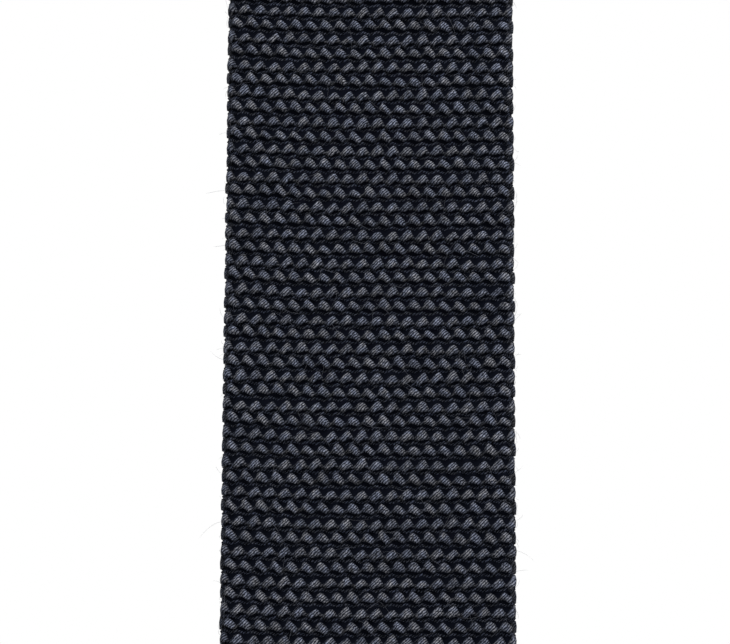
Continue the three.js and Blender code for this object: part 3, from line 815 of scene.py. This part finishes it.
knit_cloth("knot_fold", "knot_over_fold", over_fold, FOLD_STITCHES, 43, "knot",
           (FOLD_BACK_WIDTH, over_fold["pitch"] * len(over_fold["centre"])), "folded", ["knot_inner_wrap"],
           hairy=False)

# Neck band. The narrow middle of the tie lies round the collar, higher at the back than at the sides; the two
# lengths of tube are joined at the centre back.
NECK_STITCHES = 24
NECK_END_ANGLE = math.radians(125)
COLLAR_SIDE_HEIGHT = 0.014
COLLAR_TILT = 0.022
NECK_WIDTH = 0.034
NECK_SAMPLES = 300
SEAM_STANDS_OUT = 0.0011
neck_low, neck_high = (np.array(c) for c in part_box("neck_band_knit"))
collar_half_width = (neck_high[0] - neck_low[0]) / 2 - cloth_thickness / 2
collar_half_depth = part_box("neck_join_seam")[1][1] - SEAM_STANDS_OUT - cloth_thickness / 2


def neck_line(angles):
    """Points round the collar, and the direction towards the neck: an ellipse that tilts by a cosine."""
    s, c = np.sin(angles), np.cos(angles)
    height = COLLAR_SIDE_HEIGHT + COLLAR_TILT * c
    line = np.stack([collar_half_width * s, collar_half_depth * c, height], axis=1)
    inward = unit(np.stack([-s / collar_half_width, -c / collar_half_depth, 0 * s], axis=1))
    return line, inward


neck_points, neck_inward = neck_line(np.linspace(-NECK_END_ANGLE, NECK_END_ANGLE, NECK_SAMPLES))
neck_stations = course_stations(neck_points, neck_inward, UP, NECK_WIDTH, cloth_thickness)
knit_cloth("neck_band", "neck_band_knit", neck_stations, NECK_STITCHES, 47, "neck_loop",
           (NECK_WIDTH, neck_stations["pitch"] * len(neck_stations["centre"])), "folded", [], samples=5)

# Legs. The band comes down from the collar on each side, is gathered, and goes in at the top of the knot.
LEG_MOUTH_WIDTH = 0.024
LEG_MOUTH_OUT = 0.0125
LEG_MOUTH_FORWARD = 0.0022
LEG_MOUTH_HEADING = (0.75, -0.10, -1.0)
LEG_RUN_IN = 0.012
LEG_LEAN = 0.6
LEG_SAMPLES = 80
BAND_END_STEP = 0.01


def leg_stations(side):
    """Stations of one leg: a cubic curve from the band's end, along the band, to the knot's top, going down
    and inwards, and on inside the knot. Its face turns from outwards to forwards."""
    ends, inward = neck_line(np.array([NECK_END_ANGLE - BAND_END_STEP, NECK_END_ANGLE]) * side)
    start, along = ends[1], unit(ends[1] - ends[0])
    mouth = np.array([side * LEG_MOUTH_OUT, tail_y - LEG_MOUTH_FORWARD, wrap_high[2]])
    mouth_along = unit(np.array(LEG_MOUTH_HEADING) * (-side, 1, 1))
    reach = np.linalg.norm(mouth - start) / 3
    t = np.linspace(0, 1, LEG_SAMPLES)[:, None]
    curve = ((1 - t) ** 3 * start + 3 * (1 - t) ** 2 * t * (start + along * reach)
             + 3 * (1 - t) * t ** 2 * (mouth - mouth_along * reach) + t ** 3 * mouth)
    curve = np.concatenate([curve, [mouth + mouth_along * LEG_RUN_IN]])
    share = np.append(t[:, 0], 1.0)
    ease = (share ** 2 * (3 - 2 * share))[:, None]
    through = inward[1] * (1 - ease) + np.array(BACK) * ease
    upright = np.array(UP) * (1 - LEG_LEAN * ease) - side * np.array(RIGHT) * LEG_LEAN * ease
    width = NECK_WIDTH + (LEG_MOUTH_WIDTH - NECK_WIDTH) * ease[:, 0]
    return start, mouth, course_stations(curve, through, upright, width, cloth_thickness)


for leg, side, seed in (("left_leg", -1, 53), ("right_leg", 1, 59)):
    leg_start, leg_mouth, stations = leg_stations(side)
    knit_cloth(leg, f"{leg}_knit", stations, NECK_STITCHES, seed, "neck_loop",
               (NECK_WIDTH, stations["pitch"] * len(stations["centre"])), "gathered", ["knot_outer_wrap"],
               samples=5, blend=("neck_loop", "knot", tuple(leg_start), tuple(leg_mouth)))

# Keeper. A short strip of the same knit, sewn to the back of the blade by its two folded-in feet, holds the
# tail.
KEEPER_STITCHES = 18
KEEPER_PITCH = 0.0015
KEEPER_FOOT = 0.008
KEEPER_EASE = 0.0007
KEEPER_THICKNESS = 0.0016
KEEPER_FINENESS = 0.5
keeper_low, keeper_high = (np.array(c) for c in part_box("keeper_loop"))


def rounded_line(corners, times):
    """A line through corners, with every corner cut at a quarter of its sides, several times over."""
    line = np.asarray(corners, float)
    for _ in range(times):
        before, after = line[:-1], line[1:]
        cut = np.stack([before * 0.75 + after * 0.25, before * 0.25 + after * 0.75], axis=1)
        line = np.concatenate([line[:1], cut.reshape(-1, line.shape[1]), line[-1:]])
    return line


keeper_x = keeper_high[0] - KEEPER_THICKNESS / 2 + KEEPER_EASE
foot_y = keeper_low[1] + KEEPER_THICKNESS / 2
keeper_back_y = keeper_high[1] - KEEPER_THICKNESS / 2 + KEEPER_EASE
keeper_z = (keeper_low[2] + keeper_high[2]) / 2
keeper_corners = [(-keeper_x + KEEPER_FOOT, foot_y), (-keeper_x, foot_y), (-keeper_x, keeper_back_y),
                  (0, keeper_back_y), (keeper_x, keeper_back_y), (keeper_x, foot_y),
                  (keeper_x - KEEPER_FOOT, foot_y)]
keeper_line = rounded_line([(x, y, keeper_z) for x, y in keeper_corners], 3)
keeper_along = unit(np.gradient(keeper_line, axis=0))
keeper_inward = np.stack([keeper_along[:, 1], -keeper_along[:, 0], 0 * keeper_along[:, 0]], axis=1)
keeper_stations = course_stations(keeper_line, keeper_inward, UP, keeper_high[2] - keeper_low[2],
                                  KEEPER_THICKNESS, KEEPER_PITCH)
keeper_length = KEEPER_PITCH * len(keeper_stations["centre"])
knit_cloth("keeper", "keeper_loop", keeper_stations, KEEPER_STITCHES, 61, "front_blade",
           (keeper_high[2] - keeper_low[2], keeper_length), "folded", ["front_blade_ground"],
           columns=32, hairy=False, samples=5, fine=KEEPER_FINENESS)

# Sewing stitches. Bar tacks hold the keeper's feet, satin stitches the woven label's ends, and a line of
# stitches the care label; two tacks hold the stay tape's ends, and a thread ridge joins the neck band behind.
STITCH_PITCH = 0.00045
BAR_STITCHES = 4
BAR_FINENESS = 0.22
thread_navy, _, _ = new_material("thread_navy", Base_Color=(0.012, 0.014, 0.024, 1), Roughness=0.45,
                                 Sheen_Weight=0.2)


def sewn_bar(node, seed, body):
    """Close thread turns round a bar that fills a node's box, laid side by side along its longest side."""
    low, high = (np.array(c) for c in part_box(node))
    size = high - low
    long, wide, across = (2, 0, RIGHT) if size[2] > size[0] else (0, 2, UP)
    ends = np.array([low + high, low + high]) / 2
    ends[0, long], ends[1, long] = low[long], high[long]
    towards_face = (0.0, -1.0, 0.0)
    stations = course_stations(ends, towards_face, across, size[wide], max(size[1], THINNEST), STITCH_PITCH)
    thread_rings(f"{node}_thread", node, stations, BAR_STITCHES, seed, body, BAR_FINENESS, thread_navy)


for node, seed in (("keeper_bartack_left", 67), ("keeper_bartack_right", 68),
                   ("woven_label_stitch_left", 69), ("woven_label_stitch_right", 70),
                   ("care_label_stitch", 71)):
    sewn_bar(node, seed, "front_blade")

SEAM_STITCHES = 40
SEAM_RAISED = 0.0014
SEAM_STEP = math.radians(1.4)
SEAM_PITCH = 0.0014
SEAM_FINENESS = 0.5
seam_points, seam_inward = neck_line(np.array([-SEAM_STEP, SEAM_STEP]))
seam_stations = course_stations(seam_points, seam_inward, UP, NECK_WIDTH + SEAM_RAISED,
                                cloth_thickness + SEAM_RAISED, SEAM_PITCH)
thread_rings("neck_join_seam_thread", "neck_join_seam", seam_stations, SEAM_STITCHES, 73, "neck_loop",
             SEAM_FINENESS, knit_wool)

TACK_STITCHES = 12
TACK_ANGLE = math.radians(100)
TACK_HALF_ANGLE = 0.016
TACK_WIDTH = 0.008
TACK_THICKNESS = 0.0009
TACK_STANDS_IN = 0.0003
TACK_FINENESS = 0.25
for name, side, seed in (("left", -1, 79), ("right", 1, 83)):
    tack_angles = np.array([TACK_ANGLE - TACK_HALF_ANGLE, TACK_ANGLE + TACK_HALF_ANGLE]) * side
    tack_points, tack_inward = neck_line(tack_angles)
    tack_points = tack_points + tack_inward * (cloth_thickness / 2 + TACK_STANDS_IN)
    tack_stations = course_stations(tack_points, -tack_inward, UP, TACK_WIDTH, TACK_THICKNESS, STITCH_PITCH)
    thread_rings(f"stay_tape_tack_{name}_thread", f"stay_tape_tack_{name}", tack_stations, TACK_STITCHES,
                 seed, "neck_loop", TACK_FINENESS, thread_navy)

# Labels. A blank woven label behind the blade, and a blank care label that hangs from its upper edge. Both
# are thin satin, pressed flat.
LABEL_THINNING = 0.00005
LABEL_RIPPLE = 0.00006
CARE_CURL = 0.0009


def weave_lines(tree, place, direction, scale, distortion, detail):
    """Fine lines of thread, as bands across one direction of the piece's own coordinates."""
    return add_node(tree, "ShaderNodeTexWave", {"wave_type": "BANDS", "bands_direction": direction},
                    Vector=place.outputs["Object"], Scale=scale, Distortion=distortion,
                    Detail=detail).outputs["Fac"]


def satin_material(name, colour, shade):
    """Satin weave: the product of fine warp and weft lines shades a plain colour and raises it."""
    material, tree, shader = new_material(name, Roughness=0.35, Sheen_Weight=0.15)
    place = tree.nodes.new("ShaderNodeTexCoord")
    weave = math_node(tree, "MULTIPLY", weave_lines(tree, place, "X", 900.0, 0.4, 1.0),
                      weave_lines(tree, place, "Z", 700.0, 0.4, 1.0))
    tree.links.new(mixed(tree, weave, shade, colour), shader.inputs["Base Color"])
    bump = add_node(tree, "ShaderNodeBump", Strength=0.6, Distance=0.00005, Height=weave)
    tree.links.new(bump.outputs[0], shader.inputs["Normal"])
    return material


def sewn_label(name, node, body, material, curl, seed):
    """A thin satin label in place of a node: a pressed outline of its width, drawn from its top to its bottom
    edge, with a faint ripple, that leaves the cloth by curl times the square of the way down."""
    low, high = (np.array(c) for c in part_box(node))
    rng = np.random.default_rng(seed)
    t = np.linspace(0, 1, 40)[:, None]
    turn = np.arange(96)[None, :] / 96 + 0 * t
    x, y, _, _ = pressed_ring(turn, high[0] - low[0], high[1] - low[1] - LABEL_THINNING)
    ripple = LABEL_RIPPLE * np.sin(x * 900 + rng.uniform(0, 6)) * np.sin(t * 9 + rng.uniform(0, 6))
    points = np.stack([x + (low[0] + high[0]) / 2, y + (low[1] + high[1]) / 2 + ripple + curl * t ** 2,
                       high[2] + (low[2] - high[2]) * t + 0 * x], axis=-1)
    piece = grid_mesh(name, points, False, True, False, caps=True)
    piece.data.materials.append(material)
    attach(piece, body)
    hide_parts(node)


satin_navy = satin_material("satin_navy", (0.035, 0.04, 0.06, 1), (0.01, 0.012, 0.02, 1))
satin_white = satin_material("satin_white", (0.75, 0.76, 0.78, 1), (0.45, 0.46, 0.48, 1))
sewn_label("woven_label_satin", "woven_label", "front_blade", satin_navy, 0.0, 89)
sewn_label("care_label_satin", "care_label", "care_label", satin_white, CARE_CURL, 97)

# Hidden pieces that stay as they are: the stay tape inside the neck band, a twilled cotton tape, and the
# turned-in hems inside the square ends.
tape_cotton, tape_tree, tape_shader = new_material("tape_cotton", Roughness=0.8)
tape_place = tape_tree.nodes.new("ShaderNodeTexCoord")
tape_twill = weave_lines(tape_tree, tape_place, "DIAGONAL", 500.0, 0.5, 2.0)
tape_colour = mixed(tape_tree, tape_twill, (0.02, 0.022, 0.03, 1), (0.05, 0.055, 0.07, 1))
tape_tree.links.new(tape_colour, tape_shader.inputs["Base Color"])
for node, material in (("neck_stay_tape", tape_cotton), ("front_blade_turned_hem", shaded_ground_wool),
                       ("tail_turned_hem", shaded_ground_wool)):
    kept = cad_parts[node]
    kept.data.materials.clear()
    kept.data.materials.append(material)

# Studio: a pale floor under the hanging tie, soft light from the front and above, and a white surround.
FLOOR_DROP = 0.03
SURROUND_LIGHT = 0.45
bpy.ops.mesh.primitive_plane_add(size=4, location=(0, 0, cad_box[0][2] - FLOOR_DROP))
floor = bpy.context.object
floor.name = "floor"
floor_paint, _, _ = new_material("floor_paint", Base_Color=(0.35, 0.35, 0.35, 1), Roughness=0.8,
                                 Emission_Color=(1, 1, 1, 1), Emission_Strength=0.5)
floor.data.materials.append(floor_paint)

world = bpy.data.worlds.new("surround")
bpy.context.scene.world = world
world.use_nodes = True
sky = world.node_tree.nodes["Background"]
sky.inputs["Color"].default_value = (1, 1, 1, 1)
light_path = world.node_tree.nodes.new("ShaderNodeLightPath")
seen_or_lit = remapped(world.node_tree, light_path.outputs["Is Camera Ray"], 0.0, 1.0, SURROUND_LIGHT, 1.0)
world.node_tree.links.new(seen_or_lit, sky.inputs["Strength"])


def soft_light(name, place, aim, size, power):
    """A square area light at `place`, turned towards `aim`."""
    data = bpy.data.lights.new(name, "AREA")
    data.size = size
    data.energy = power
    lamp = bpy.data.objects.new(name, data)
    turn = (Vector(aim) - Vector(place)).to_track_quat("-Z", "Y")
    lamp.matrix_world = Matrix.LocRotScale(Vector(place), turn, None)
    bpy.context.scene.collection.objects.link(lamp)


SHOWN_HEIGHT = -0.342
soft_light("key_light", (0.2, -0.72, 0.32), (0, 0, SHOWN_HEIGHT), 0.45, 10.5)
soft_light("back_light", (-0.3, 1.1, 0.45), (0, 0, -0.15), 0.8, 14.0)

# Camera: square to the blade from the front, a little below, so that the top of the blade lies further away.
CAMERA_DISTANCE = 0.5
CAMERA_BELOW = math.radians(10)
CAMERA_ROLL = math.radians(0.25)
CAMERA_LEFT = 0.00085
camera_data = bpy.data.cameras.new("camera")
camera_data.lens = 124
camera_data.sensor_width = 36
camera_data.clip_start = 0.01
camera = bpy.data.objects.new("camera", camera_data)
target = Vector((-CAMERA_LEFT, blade_low[1], SHOWN_HEIGHT))
back = Vector((0, -math.cos(CAMERA_BELOW), -math.sin(CAMERA_BELOW)))
turn = (-back).to_track_quat("-Z", "Y")
camera.matrix_world = (Matrix.Translation(target + back * CAMERA_DISTANCE) @ turn.to_matrix().to_4x4()
                       @ Matrix.Rotation(CAMERA_ROLL, 4, "Z"))
bpy.context.scene.collection.objects.link(camera)
bpy.context.scene.camera = camera
bpy.context.scene.view_settings.view_transform = "Standard"
